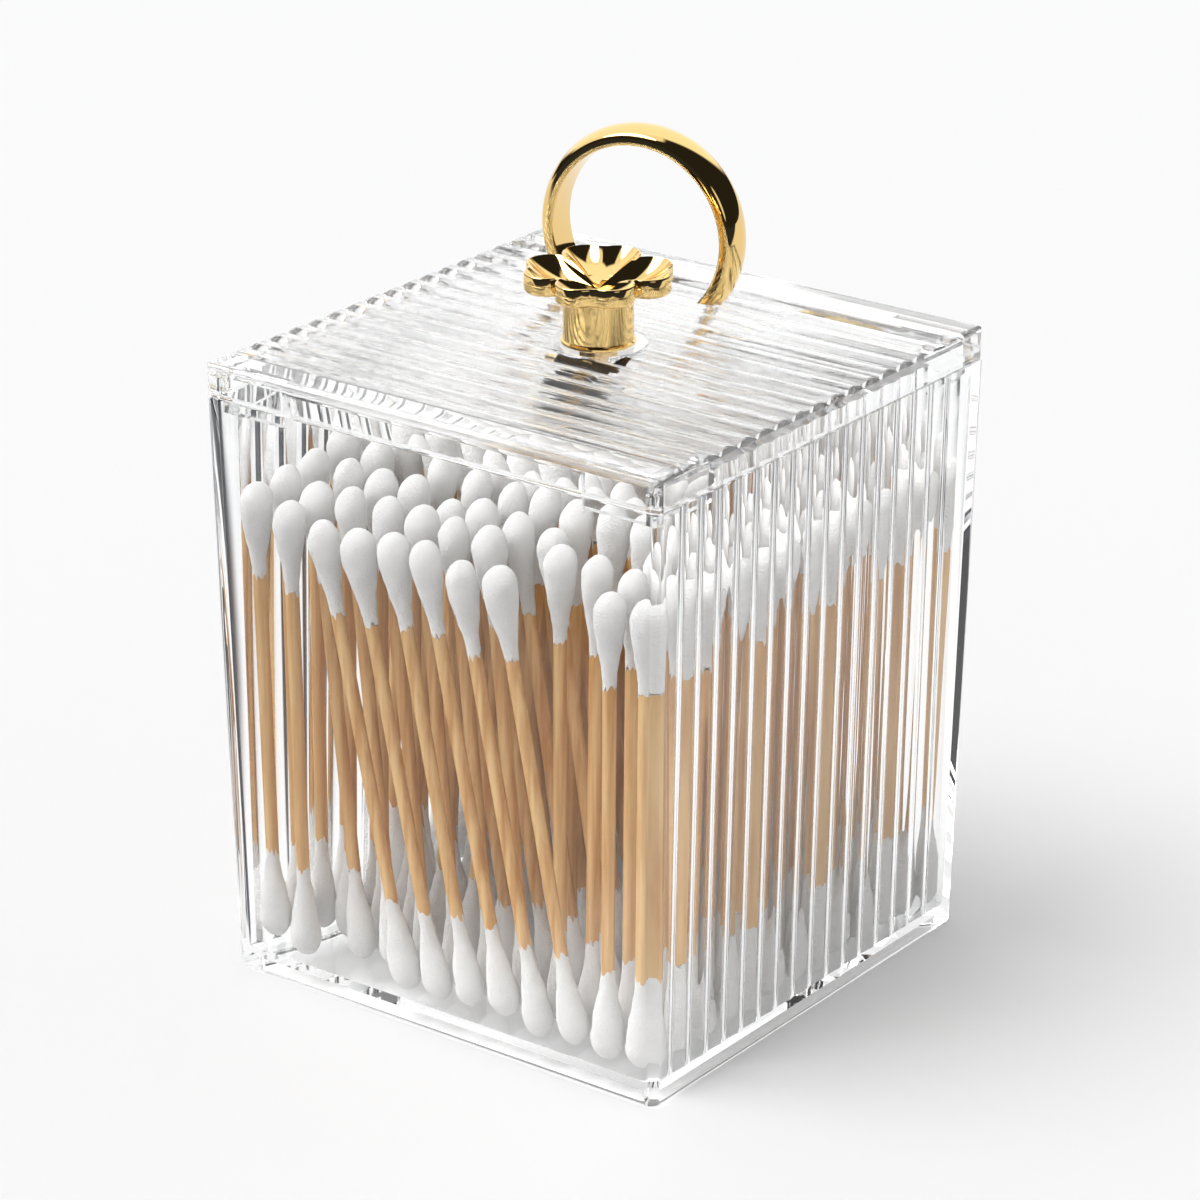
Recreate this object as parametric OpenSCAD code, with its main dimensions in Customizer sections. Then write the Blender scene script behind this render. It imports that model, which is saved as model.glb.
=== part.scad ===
// Square clear holder for cotton swabs, with a ribbed lid, a flower knob and a ring handle.
// The origin is the centre of the base. +Z is up, -Y is the plain front, and +X and -X are the ribbed sides.

/* [Body] */
// Outside width across the ribbed sides, at the rim
body_w = 84.4; // [74:0.2:110]
// Outside depth from the plain front to the back, at the rim
body_d = 84.4; // [74:0.2:110]
// Height of the box without its lid
body_h = 94.8; // [90:0.2:130]
// How far each side leans in between the rim and the base
draft = 1.8; // [0.6:0.1:3]
// Thickness of the plain front and back walls
wall_t = 2.0; // [1.6:0.1:3]
// Thickness of the side walls in the grooves between their ribs
side_t = 1.5; // [1.2:0.1:2.5]
// Thickness of the floor
floor_t = 3.7; // [3:0.1:5]
// Depth of the hollow under the floor
foot_h = 1.9; // [0.6:0.1:2.2]
// Width of the standing rim round that hollow
foot_w = 3.2; // [2:0.2:8]
// How much the upright outer corners are cut back
corner_cut = 0.7; // [0.3:0.1:1.5]
// How much the upright inner corners are filled in
inner_cut = 0.4; // [0.2:0.1:1]

/* [Ribs] */
// Spacing of the ribs, on the side walls and on the lid
rib_pitch = 4.55; // [3.6:0.05:7]
// Flat land in the groove between two ribs
rib_land = 0.35; // [0.2:0.05:0.8]
// Height of a rib above its groove
rib_h = 0.75; // [0.4:0.05:1.1]
// Least plain border before the first rib
rib_border = 5.6; // [4.5:0.1:9]

/* [Lid] */
// Gap between the lid's edge and the rim of the box
rim_gap = 0.1; // [0.05:0.05:0.4]
// Height of the lid from its edge to the crests of its ribs
lid_h = 5.1; // [4.4:0.1:8]
// How far the lid stands back from the outside of the box
lid_step = 0.1; // [0:0.05:0.6]
// Thickness of the lid's plate at the crests
plate_t = 2.6; // [2:0.1:3.6]
// Radius of the lid's upright corners
lid_corner = 1.6; // [0.8:0.1:3]
// Radius of the lid's upper edges
edge_r = 1.1; // [0.5:0.1:1.8]
// Length of each arm of the four corner lugs
lug_l = 12; // [6:0.5:20]
// Thickness of the corner lugs
lug_t = 1.4; // [1:0.1:2.5]
// How deep the corner lugs reach into the box
lug_depth = 3.0; // [2:0.1:8]
// Clearance between the corner lugs and the walls of the box
lug_gap = 0.25; // [0.15:0.05:0.6]
// Radius of the round pad under the knob
pad_r = 7.45; // [6.4:0.05:10]
// Height of that pad above the crests
pad_h = 0.35; // [0.2:0.05:1]

/* [Flower knob] */
// Radius of the knob's stem
stem_r = 5.1; // [4:0.1:6]
// Height of the stem between the pad and the petals
stem_h = 8.6; // [6:0.1:14]
// Radius of the thin collar at the foot of the stem
collar_r = 5.4; // [5.2:0.1:6.3]
// Height of that collar
collar_h = 0.6; // [0.3:0.1:1.5]
// Number of petals
petals = 4; // [3:1:5]
// Radius of the flower in the notches between its petals
flower_r = 8.3; // [8:0.1:9]
// Distance from the knob's axis to the middle of the two lobes of a petal
petal_d = 7.5; // [7.2:0.1:8.2]
// Radius of a lobe
petal_r = 3.6; // [3.5:0.1:4.2]
// Angle between the middle of a petal and each of its lobes
lobe_turn = 18; // [14:1:20]
// Height of the petals' rim
petal_h = 3.1; // [2.6:0.1:5]
// How far the lower part of the rim stands back
petal_step = 0.25; // [0.1:0.05:0.6]
// Depth of the cup at its middle
cup_depth = 3.6; // [2.6:0.1:4]
// Radius at which the cup reaches the rim
cup_r = 7.2; // [6.4:0.1:7.6]
// Radius of the hollow in each lobe
dish_r = 5.2; // [4.4:0.1:8]
// Distance from the knob's axis to the middle of that hollow
dish_d = 7.0; // [6.4:0.1:7.2]
// Half width of that hollow at the rim
dish_w = 3.4; // [2.8:0.1:3.5]

/* [Knob screw] */
// Radius of the screw that holds the knob from below
screw_r = 1.5; // [1:0.1:2]
// Length of the screw inside the knob
screw_l = 6.0; // [4:0.5:9]
// Radius of the screw's head
head_r = 2.9; // [2.4:0.1:4]
// Height of the screw's head
head_h = 1.7; // [1.2:0.1:2.2]
// Clearance of the screw in the lid
screw_gap = 0.2; // [0.1:0.05:0.4]
// Clearance of the screw in its thread and of a stick in its cotton
thread_gap = 0.02; // [0.01:0.01:0.05]

/* [Ring handle] */
// Inner radius of the ring
ring_r = 14.2; // [11:0.1:18]
// Thickness of the band from its flat inside to its domed outside
band_t = 2.8; // [2:0.1:4]
// Width of the band
band_w = 6.5; // [4:0.1:9]
// Radius of the band's domed outside
dome_r = 5.0; // [4.6:0.1:9]
// Radius of the band's inner edges
band_edge = 0.5; // [0.2:0.1:0.9]
// Height of the ring's centre above the crests of the lid
ring_up = 9.5; // [6:0.1:11]
// Place of the ring's centre across the lid
ring_x = -10.2; // [-12:0.1:12]
// Distance from the lid's back edge to the ring's centre
ring_back = 16.8; // [15:0.1:20]
// Turn of the ring about the upright
ring_turn = 10.7; // [0:0.1:20]
// Radius of the peg under each foot of the ring
peg_r = 1.1; // [0.8:0.1:1.3]
// Length of the pegs in the lid
peg_l = 2.2; // [1.6:0.1:2.6]
// Clearance round the pegs
peg_gap = 0.05; // [0.02:0.01:0.1]
// Clearance between the ring's feet and the crests
foot_gap = 0.02; // [0.01:0.01:0.1]

/* [Cotton swabs] */
// Length of a swab over its cotton ends
swab_l = 74.2; // [68:0.2:78]
// Radius of the wooden stick
stick_r = 1.05; // [0.8:0.05:1.25]
// Largest radius of a cotton end
tip_r = 2.7; // [2.4:0.05:3.4]
// Length of a cotton end
tip_l = 14.6; // [10:0.2:20]
// Length of the rounded nose of a cotton end
nose_l = 3.0; // [2.4:0.1:4]
// Thickness of the cotton where it ends on the stick
neck_t = 0.12; // [0.08:0.02:0.4]
// Depth of cotton over the end of the stick
cover_l = 1.6; // [1:0.1:3]
// Least clearance between two cotton ends
swab_gap = 0.12; // [0.1:0.02:0.5]
// Least room between the swabs of a row
slot_slack = 0.6; // [0.2:0.05:1.2]
// Least room between two rows
row_slack = 0.3; // [0.2:0.05:1]
// How far the inner rows swing from side to side
row_wave = 0.6; // [0:0.1:0.9]
// Length of that swing
wave_l = 52; // [40:1:90]
// How much higher some swabs sit than others
swab_lift = 2.0; // [0:0.1:2.2]

/* [Hidden] */
$fn = 48;

// A small overlap for cuts that run past a face
over = 1;

// Ribs: their number, the radius of their round tops and the places of their middles
rib_n = floor((body_d - 2 * rib_border) / rib_pitch);
rib_chord = rib_pitch - rib_land;
rib_r = (rib_chord * rib_chord / 4 + rib_h * rib_h) / (2 * rib_h);
rib_places = [for (i = [0 : rib_n - 1]) (i - (rib_n - 1) / 2) * rib_pitch];
ribbed_d = rib_n * rib_pitch;

// The sides lean outward by this angle
lean = atan(draft / body_h);

// One petal points past the right front corner, as the flower stands in the photograph
knob_turn = -57;

// Levels, from the rim of the box up
lid_z = body_h + rim_gap;
crest_z = lid_z + lid_h;
plate_z = crest_z - plate_t;
pad_z = crest_z + pad_h;
petal_z = pad_z + stem_h;
petal_top = petal_z + petal_h;

// Lid
lid_w = body_w - 2 * lid_step;
lid_d = body_d - 2 * lid_step;
lug_x = body_w / 2 - draft * lug_depth / body_h - side_t - rib_h - lug_gap;
lug_y = body_d / 2 - draft * lug_depth / body_h - wall_t - lug_gap;

// Ring: its place, its outer radius and the distance of its feet from its middle
ring_y = lid_d / 2 - ring_back;
ring_out = ring_r + band_t;
ring_z = crest_z + ring_up;
foot_x = (sqrt(ring_r * ring_r - ring_up * ring_up) + sqrt(ring_out * ring_out - ring_up * ring_up)) / 2;

// Swabs: the room between the walls at the floor, and how much of it the draft adds at the top
tip_reach_x = body_w / 2 - draft * (1 - floor_t / body_h) - side_t - rib_h - tip_r - swab_gap;
tip_reach_y = body_d / 2 - draft * (1 - floor_t / body_h) - wall_t - tip_r - swab_gap;
swab_span = swab_l - 2 * nose_l;
fan = draft * swab_span / body_h;
slots = floor(2 * tip_reach_x / (2 * tip_r + slot_slack)) + 1;
rows = floor(2 * tip_reach_y / (2 * tip_r + row_slack)) + 1;
// Each end of a swab strays by this much at most, which keeps it off its neighbours
stray = max((0.975 * 2 * tip_reach_x / (slots - 1) - 2 * tip_r - swab_gap) / 2, 0);

// How each row stands: swabs upright on the left, swabs that lean together, and by how many slots they lean.
// Those left over stand upright on the right. The list is used again from its start when there are more rows.
ROW_LEANS = [
    [2, 6, 2], [1, 6, 1], [4, 4, 2], [2, 4, -1], [0, 7, 2], [5, 3, 1], [3, 4, 2],
    [1, 5, 1], [4, 3, -2], [2, 6, 1], [6, 3, 2], [0, 5, 1], [3, 6, -1]
];

function row_name(kind, k) = str(kind, "_", k < 9 ? "0" : "", k + 1);
function row_lean(k) = ROW_LEANS[k % len(ROW_LEANS)];
// Swabs that lean take one slot more for each slot of lean, so the row holds that many fewer
function row_count(k) = slots - abs(row_lean(k)[2]);
function lean_start(k) = min(row_lean(k)[0], row_count(k) - 1);
function lean_end(k) = min(row_lean(k)[0] + row_lean(k)[1], row_count(k));
// Slots at the top and the foot of swab i of row k: both rise with i, so no two swabs cross
function top_slot(k, i) =
    i < lean_start(k) ? i
    : i < lean_end(k) ? i + max(-row_lean(k)[2], 0)
    : i + abs(row_lean(k)[2]);
function foot_slot(k, i) =
    i < lean_start(k) ? i
    : i < lean_end(k) ? i + max(row_lean(k)[2], 0)
    : i + abs(row_lean(k)[2]);
// A number between -1 and 1 that looks random and is always the same for n
function chance(n) = let (s = sin(n * 137.5) * 4375.8) 2 * (s - floor(s)) - 1;
function slot_x(slot, reach, n) =
    max(-reach, min(reach, (2 * slot / (slots - 1) - 1) * reach + stray * chance(n)));
function row_y(k, reach) = (2 * k / (rows - 1) - 1) * reach;
// The rows at the walls are straight, and those between them swing
function swing(k, x, phase) = row_wave * sin(180 * k / (rows - 1)) * sin(360 * x / wave_l + phase);
function swab_foot(k, i) =
    let (x = slot_x(foot_slot(k, i), tip_reach_x, 31 * k + 7 * i + 3))
    [x, row_y(k, tip_reach_y) + swing(k, x, 40), floor_t + nose_l + swab_gap];
function swab_top(k, i) =
    let (x = slot_x(top_slot(k, i), tip_reach_x + fan, 17 * k + 11 * i + 5))
    [x, row_y(k, tip_reach_y + fan) + swing(k, x, 170), 0];
// Turn of a swab about the upright, its tilt, and how far it is lifted off the floor
function swab_way(k, i) = swab_top(k, i) - swab_foot(k, i);
function swab_turn(k, i) = atan2(swab_way(k, i).y, swab_way(k, i).x);
function swab_tilt(k, i) = asin(min(norm([swab_way(k, i).x, swab_way(k, i).y]) / swab_span, 0.5));
function swab_raise(k, i) = swab_lift * abs(chance(13 * k + 19 * i));

// Radius of the cotton at a distance s from its end: a round nose, then a long hollow taper
function tip_radius(s) =
    s < nose_l
    ? tip_r * sqrt(max(1 - pow(1 - s / nose_l, 2), 0))
    : stick_r + neck_t + (tip_r - stick_r - neck_t) * pow(cos(90 * (s - nose_l) / (tip_l - nose_l)), 2);

module rounded_square(w, d, r) {
    square([w - 2 * r, d], center = true);
    square([w, d - 2 * r], center = true);
    for (sx = [-1, 1], sy = [-1, 1])
        translate([sx * (w / 2 - r), sy * (d / 2 - r)])
            circle(r = r, $fn = 24);
}

// A block with the draft of the box, inset by tx and ty, from z0 to z1, with its upright corners cut off
module drafted_block(z0, z1, tx, ty, corner) {
    wide = 2 * max(body_w, body_d);
    foot_x = body_w / 2 - draft - tx;
    foot_y = body_d / 2 - draft - ty;
    corner_lean = atan(draft * sqrt(2) / body_h);
    intersection() {
        translate([-wide / 2, -wide / 2, z0])
            cube([wide, wide, z1 - z0]);
        for_side(foot_x, lean, 0, wide);
        for_side(foot_x, lean, 180, wide);
        for_side(foot_y, lean, 90, wide);
        for_side(foot_y, lean, 270, wide);
        intersection_for (turn = [45 : 90 : 315])
            rotate([0, 0, turn])
                translate([norm([foot_x, foot_y]) * cos(abs(atan2(foot_y, foot_x) - 45)) - corner, 0, 0])
                    leaning_space(corner_lean, wide);
    }
}

module for_side(reach, angle, turn, wide) {
    rotate([0, 0, turn])
        translate([reach, 0, 0])
            leaning_space(angle, wide);
}

// Everything on the inner side of a plane that passes the origin and leans outward
module leaning_space(angle, wide) {
    rotate([0, angle, 0])
        translate([-wide, -wide / 2, -wide / 4])
            cube([wide, wide, wide]);
}

// Round ribs that stand inward on both side walls of the box, leaning with them
module side_ribs() {
    x0 = body_w / 2 - draft - side_t - rib_h + rib_r;
    for (side = [0, 180], y = rib_places)
        rotate([0, 0, side])
            translate([x0, y, 0])
                rotate([0, lean, 0])
                    translate([0, 0, -over])
                        cylinder(r = rib_r, h = body_h + 3 * over);
}

module box_body() {
    color([0.93, 0.95, 0.96, 0.35])
        difference() {
            drafted_block(0, body_h, 0, 0, corner_cut);
            difference() {
                drafted_block(floor_t, body_h + over, side_t, wall_t, inner_cut);
                side_ribs();
            }
            translate([0, 0, -over])
                linear_extrude(height = foot_h + over)
                    rounded_square(body_w - 2 * (draft + foot_w), body_d - 2 * (draft + foot_w), lid_corner);
        }
}

// Section of the lid from front to back: two plain borders with rounded edges, and the ribs between them
module lid_section() {
    border = (lid_d - ribbed_d) / 2;
    translate([-lid_d / 2, lid_z])
        square([lid_d, lid_h - edge_r]);
    for (side = [-1, 1])
        translate([side * (lid_d / 2 - edge_r), crest_z - edge_r])
            circle(r = edge_r);
    for (side = [0, 1])
        mirror([side, 0])
            translate([-lid_d / 2 + edge_r, lid_z])
                square([border - edge_r, lid_h]);
    for (y = rib_places)
        intersection() {
            translate([y, crest_z - rib_r])
                circle(r = rib_r, $fn = 96);
            translate([y - rib_chord / 2, lid_z])
                square([rib_chord, lid_h + over]);
        }
    translate([-ribbed_d / 2, lid_z])
        square([ribbed_d, lid_h - rib_h]);
}

// Section of the lid from side to side, with rounded upper edges
module lid_cross_section() {
    translate([-lid_w / 2, lid_z - over])
        square([lid_w, lid_h + over - edge_r]);
    translate([-lid_w / 2 + edge_r, lid_z])
        square([lid_w - 2 * edge_r, lid_h]);
    for (side = [-1, 1])
        translate([side * (lid_w / 2 - edge_r), crest_z - edge_r])
            circle(r = edge_r);
}

// The hollow under the lid's plate, with ribs on its two side walls
module lid_hollow() {
    difference() {
        translate([0, 0, lid_z - over])
            linear_extrude(height = plate_z - lid_z + over)
                rounded_square(lid_w - 2 * side_t, lid_d - 2 * wall_t, lid_corner / 2);
        for (side = [0, 180], y = rib_places)
            rotate([0, 0, side])
                translate([lid_w / 2 - side_t - rib_h + rib_r, y, lid_z - 2 * over])
                    cylinder(r = rib_r, h = lid_h + 2 * over);
    }
}

// One L-shaped lug under each corner of the lid: it hangs from the plate and reaches into the box
module corner_lugs() {
    for (sx = [0, 1], sy = [0, 1])
        mirror([sx, 0, 0])
            mirror([0, sy, 0]) {
                difference() {
                    translate([lug_x - lug_l, lug_y - lug_l, lid_z - lug_depth])
                        cube([lug_l, lug_l, plate_z - lid_z + lug_depth + over / 2]);
                    translate([lug_x - lug_l - over, lug_y - lug_l - over, lid_z - lug_depth - over])
                        cube([lug_l + over - lug_t, lug_l + over - lug_t, lid_h + lug_depth + 2 * over]);
                }
                // Webs that join the lug to the lid's own walls
                translate([lug_x - lug_t, lug_y - lug_l, lid_z])
                    cube([lid_w / 2 - side_t / 2 - lug_x + lug_t, lug_l, plate_z - lid_z + over / 2]);
                translate([lug_x - lug_l, lug_y - lug_t, lid_z])
                    cube([lug_l, lid_d / 2 - wall_t / 2 - lug_y + lug_t, plate_z - lid_z + over / 2]);
            }
}

// Places something at both feet of the ring
module at_ring_feet() {
    translate([ring_x, ring_y, 0])
        rotate([0, 0, ring_turn])
            for (side = [-1, 1])
                translate([side * foot_x, 0, 0])
                    children();
}

module lid() {
    color([0.95, 0.96, 0.97, 0.35])
        difference() {
            union() {
                difference() {
                    intersection() {
                        rotate([90, 0, 90])
                            linear_extrude(height = lid_w, center = true)
                                lid_section();
                        rotate([90, 0, 0])
                            linear_extrude(height = lid_d + 2 * over, center = true)
                                lid_cross_section();
                        translate([0, 0, lid_z - over])
                            linear_extrude(height = lid_h + 2 * over)
                                rounded_square(lid_w, lid_d, lid_corner);
                    }
                    lid_hollow();
                }
                corner_lugs();
                translate([0, 0, plate_z])
                    cylinder(r = pad_r, h = pad_z - plate_z);
            }
            translate([0, 0, plate_z - over])
                cylinder(r = screw_r + screw_gap, h = plate_t + pad_h + 2 * over);
            translate([0, 0, plate_z - over])
                at_ring_feet()
                    cylinder(r = peg_r + peg_gap, h = plate_t + 2 * over);
        }
}

// Places something at each lobe of the flower: two to a petal, at the given distance from the axis
module at_lobes(distance) {
    for (i = [0 : petals - 1], side = [-1, 1])
        rotate([0, 0, i * 360 / petals + side * lobe_turn + knob_turn])
            translate([distance, 0, 0])
                children();
}

// Outline of the flower, with heart-shaped petals, smaller by the given amount
module flower_outline(less) {
    circle(r = flower_r - less);
    at_lobes(petal_d)
        circle(r = petal_r - less);
}

module flower_knob() {
    cup_ball = (cup_r * cup_r + cup_depth * cup_depth) / (2 * cup_depth);
    dish_up = sqrt(dish_r * dish_r - dish_w * dish_w);
    color([0.83, 0.63, 0.22])
        difference() {
            union() {
                translate([0, 0, pad_z])
                    cylinder(r = stem_r, h = stem_h + petal_h / 4);
                translate([0, 0, pad_z])
                    cylinder(r = collar_r, h = collar_h);
                // The lower part of the rim steps in, which leaves the fine line round the flower
                translate([0, 0, petal_z])
                    linear_extrude(height = petal_h / 2)
                        flower_outline(petal_step);
                translate([0, 0, petal_z + petal_h / 3])
                    linear_extrude(height = petal_h * 2 / 3)
                        flower_outline(0);
            }
            // The cup falls in a wide round hollow to the middle of the flower
            translate([0, 0, petal_top + cup_ball - cup_depth])
                sphere(r = cup_ball, $fn = 128);
            // Each lobe has a round hollow of its own: a low crease stays in each petal, a sharp ridge between two
            translate([0, 0, petal_top + dish_up])
                at_lobes(dish_d)
                    sphere(r = dish_r, $fn = 64);
            translate([0, 0, pad_z - over])
                cylinder(r = screw_r + thread_gap, h = screw_l + screw_r / 2 + over);
        }
}

module knob_screw() {
    slot_w = head_r / 4;
    slot_l = head_r * 1.3;
    color([0.75, 0.75, 0.77])
        difference() {
            union() {
                translate([0, 0, plate_z - head_h])
                    cylinder(r = head_r, h = head_h);
                translate([0, 0, plate_z - head_h / 2])
                    cylinder(r = screw_r, h = head_h / 2 + plate_t + pad_h + screw_l);
            }
            for (turn = [0, 90])
                translate([0, 0, plate_z - head_h])
                    rotate([0, 0, turn])
                        cube([slot_l, slot_w, head_h], center = true);
        }
}

// Section of the ring's band: flat inside with rounded edges, domed outside
module band_section() {
    intersection() {
        translate([ring_out - dome_r, 0])
            circle(r = dome_r, $fn = 96);
        union() {
            translate([ring_r + band_edge, -band_w / 2])
                square([band_t, band_w]);
            translate([ring_r, -band_w / 2 + band_edge])
                square([band_t, band_w - 2 * band_edge]);
            for (side = [-1, 1])
                translate([ring_r + band_edge, side * (band_w / 2 - band_edge)])
                    circle(r = band_edge, $fn = 24);
        }
    }
}

module ring_handle() {
    color([0.83, 0.63, 0.22]) {
        difference() {
            translate([ring_x, ring_y, ring_z])
                rotate([0, 0, ring_turn])
                    rotate([90, 0, 0])
                        rotate_extrude($fn = 128)
                            band_section();
            translate([ring_x, ring_y, crest_z + foot_gap - ring_out])
                cube([4 * ring_out, 4 * ring_out, 2 * ring_out], center = true);
        }
        translate([0, 0, crest_z - peg_l])
            at_ring_feet()
                cylinder(r = peg_r, h = peg_l + foot_gap + 0.3);
    }
}

// Places something along swab i of row k, with its axis on +Z from the middle of the lower nose
module along_swab(k, i) {
    translate(swab_foot(k, i))
        translate([0, 0, swab_raise(k, i)])
            rotate([0, swab_tilt(k, i), swab_turn(k, i)])
                children();
}

// A cotton end with its nose at the origin, pointing down, and the hole that the stick fills
module cotton_tip() {
    nose_steps = 4;
    taper_steps = 4;
    bore = stick_r + thread_gap;
    rotate_extrude($fn = 32)
        polygon(concat(
            [for (j = [0 : nose_steps]) let (s = nose_l * (1 - cos(90 * j / nose_steps))) [tip_radius(s), s]],
            [for (j = [1 : taper_steps]) let (s = nose_l + (tip_l - nose_l) * j / taper_steps) [tip_radius(s), s]],
            [[bore, tip_l], [bore, cover_l - thread_gap], [0, cover_l - thread_gap]]
        ));
}

module swab_sticks(k) {
    color([0.87, 0.70, 0.46])
        for (i = [0 : row_count(k) - 1])
            along_swab(k, i)
                translate([0, 0, cover_l - nose_l])
                    cylinder(r = stick_r, h = swab_l - 2 * cover_l, $fn = 24);
}

module cotton_tips(k) {
    color([0.97, 0.97, 0.96])
        for (i = [0 : row_count(k) - 1])
            along_swab(k, i) {
                translate([0, 0, -nose_l])
                    cotton_tip();
                translate([0, 0, swab_l - nose_l])
                    rotate([180, 0, 0])
                        cotton_tip();
            }
}

box_body();
lid();
flower_knob();
knob_screw();
ring_handle();
for (k = [0 : rows - 1]) {
    swab_sticks(k);
    cotton_tips(k);
}
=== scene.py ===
"""Looks of the cotton swab holder: a clear ribbed box and lid, gold fittings and wooden swabs."""

import math
import random

import bmesh
import bpy
import numpy as np
from bpy.props import FloatProperty, FloatVectorProperty, IntProperty, PointerProperty
from mathutils import Matrix, Vector, noise


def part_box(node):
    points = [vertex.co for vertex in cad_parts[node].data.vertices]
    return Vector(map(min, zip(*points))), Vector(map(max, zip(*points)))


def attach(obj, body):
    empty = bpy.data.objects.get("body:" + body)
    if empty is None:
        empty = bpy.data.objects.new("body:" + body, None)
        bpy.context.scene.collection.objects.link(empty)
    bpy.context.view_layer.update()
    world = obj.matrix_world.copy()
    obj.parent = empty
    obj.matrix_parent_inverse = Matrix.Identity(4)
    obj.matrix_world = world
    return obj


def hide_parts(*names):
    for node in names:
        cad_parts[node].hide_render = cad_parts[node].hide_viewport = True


bl_info = {
    "name": "Cotton swab holder",
    "version": (1, 0, 0),
    "blender": (4, 2, 0),
    "location": "3D View > Sidebar > Swab Holder",
    "description": "Builds the looks of a clear swab box round its packed frame",
    "category": "Object",
}

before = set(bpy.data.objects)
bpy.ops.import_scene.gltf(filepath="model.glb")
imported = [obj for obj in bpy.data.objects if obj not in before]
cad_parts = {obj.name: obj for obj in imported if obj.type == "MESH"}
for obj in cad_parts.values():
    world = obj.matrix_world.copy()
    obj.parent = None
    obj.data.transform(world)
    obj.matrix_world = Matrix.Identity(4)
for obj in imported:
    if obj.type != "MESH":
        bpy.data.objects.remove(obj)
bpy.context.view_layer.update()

MM = 0.001
TURN = 2 * math.pi
BODY_LOW, BODY_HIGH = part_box("box_body")
LID_LOW, LID_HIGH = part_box("lid")
KNOB_LOW, KNOB_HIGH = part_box("flower_knob")
RING_LOW, RING_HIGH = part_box("ring_handle")
STICK_NODES = sorted(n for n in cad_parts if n.startswith("swab_sticks"))
TIP_NODES = sorted(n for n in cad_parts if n.startswith("cotton_tips"))

# Signs of the four corners, round from +X +Y
CORNERS = ((1, 1), (-1, 1), (-1, -1), (1, -1))
PEG = 1.1 * MM
PEG_HOLE = 1.15 * MM
PEG_LENGTH = 2.7 * MM
# Overlap of pieces that are joined or cut
OVERLAP = 1.0 * MM


def length(name, text, default):
    """A size property in metres, given in millimetres."""
    return FloatProperty(name=name, description=text, default=default * MM, unit="LENGTH", precision=5)


def colour(name, text, default):
    """A colour property."""
    return FloatVectorProperty(name=name, description=text, default=default, subtype="COLOR", min=0, max=1)


class HolderSizes(bpy.types.PropertyGroup):
    """Sizes of the clear box and the lid."""

    draft: length("Draft", "How far each side leans in down to the base", 1.8)
    front_wall: length("Front wall", "Thickness of the plain walls", 2.0)
    side_wall: length("Side wall", "Thickness of the side walls in their grooves", 1.5)
    floor: length("Floor", "Thickness of the floor", 3.7)
    foot: length("Foot", "Depth of the hollow under the floor", 1.9)
    foot_rim: length("Foot rim", "Width of the standing rim", 3.2)
    corner: length("Corner", "Radius of the upright outer corners", 1.5)
    edge: length("Edge", "Radius of the fine edges", 0.3)
    rib_pitch: length("Rib pitch", "Spacing of the ribs", 4.55)
    rib_land: length("Rib land", "Flat land between two ribs", 0.35)
    rib_height: length("Rib height", "Height of a rib", 0.75)
    ribs: IntProperty(name="Ribs", description="Ribs on each side wall", default=16, min=2, max=30)


class LidSizes(bpy.types.PropertyGroup):
    """Sizes of the lid."""

    height: length("Height", "From the lid's edge to the crests of its ribs", 5.1)
    plate: length("Plate", "Thickness of the plate at the crests", 2.6)
    corner: length("Corner", "Radius of the upright corners", 1.6)
    edge: length("Edge", "Radius of the upper edges", 1.1)
    lug: length("Lug", "Length of the arms of the corner lugs", 12)
    lug_thick: length("Lug thickness", "Thickness of the corner lugs", 1.4)
    lug_room: length("Lug room", "From the outside of the lid's side to the lug", 2.56)
    lug_room_y: length("Lug room in front", "From the outside of the lid's front to the lug", 2.31)
    pad: length("Pad", "Radius of the round pad", 7.45)
    pad_rise: length("Pad rise", "Height of the pad over the crests", 0.35)
    screw_hole: length("Screw hole", "Radius of the hole for the screw", 1.7)


class GoldSizes(bpy.types.PropertyGroup):
    """Sizes of the flower knob and the ring."""

    stem: length("Stem", "Radius of the stem", 5.4)
    collar: length("Collar", "Radius of the collar at the foot of the stem", 5.75)
    notch: length("Notch", "Radius of the flower between its petals", 8.3)
    lobe_place: length("Lobe place", "From the knob's axis to the middle of a petal's lobes", 7.85)
    lobe: length("Lobe", "Radius of a lobe", 3.6)
    lobe_turn: FloatProperty(
        name="Lobe turn", description="Angle between a petal and its lobes", default=math.radians(18),
        subtype="ANGLE"
    )
    rim: length("Rim", "Height of the petals' rim", 3.1)
    cup: length("Cup", "Depth of the cup at its middle", 3.6)
    petal_turn: FloatProperty(
        name="Petal turn", description="Turn of the flower", default=math.radians(-57), subtype="ANGLE"
    )
    ring_inner: length("Ring inner radius", "Inner radius of the ring", 14.2)
    ring_band: length("Ring band", "Thickness of the band", 2.8)
    ring_width: length("Ring width", "Width of the band", 6.5)
    ring_dome: length("Ring dome", "Radius of the domed outside", 5.0)
    ring_lift: length("Ring lift", "Height of the ring's centre over the lid", 9.5)
    ring_turn: FloatProperty(
        name="Ring turn", description="Turn of the ring", default=math.radians(10.7), subtype="ANGLE"
    )


class SwabSizes(bpy.types.PropertyGroup):
    """Sizes of the swabs, and how rough their cotton is."""

    stick: length("Stick", "Radius of a stick", 1.03)
    head: length("Head", "Largest radius of a cotton end", 2.68)
    head_length: length("Head length", "Length of a cotton end", 14.6)
    nose: length("Nose", "Length of the rounded nose", 3.0)
    cover: length("Cover", "Cotton over the end of the stick", 1.6)
    bumps: length("Bumps", "Height of the soft bumps", 0.2)
    seed: IntProperty(name="Seed", description="Seed of the random draws", default=7, min=0)


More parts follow.
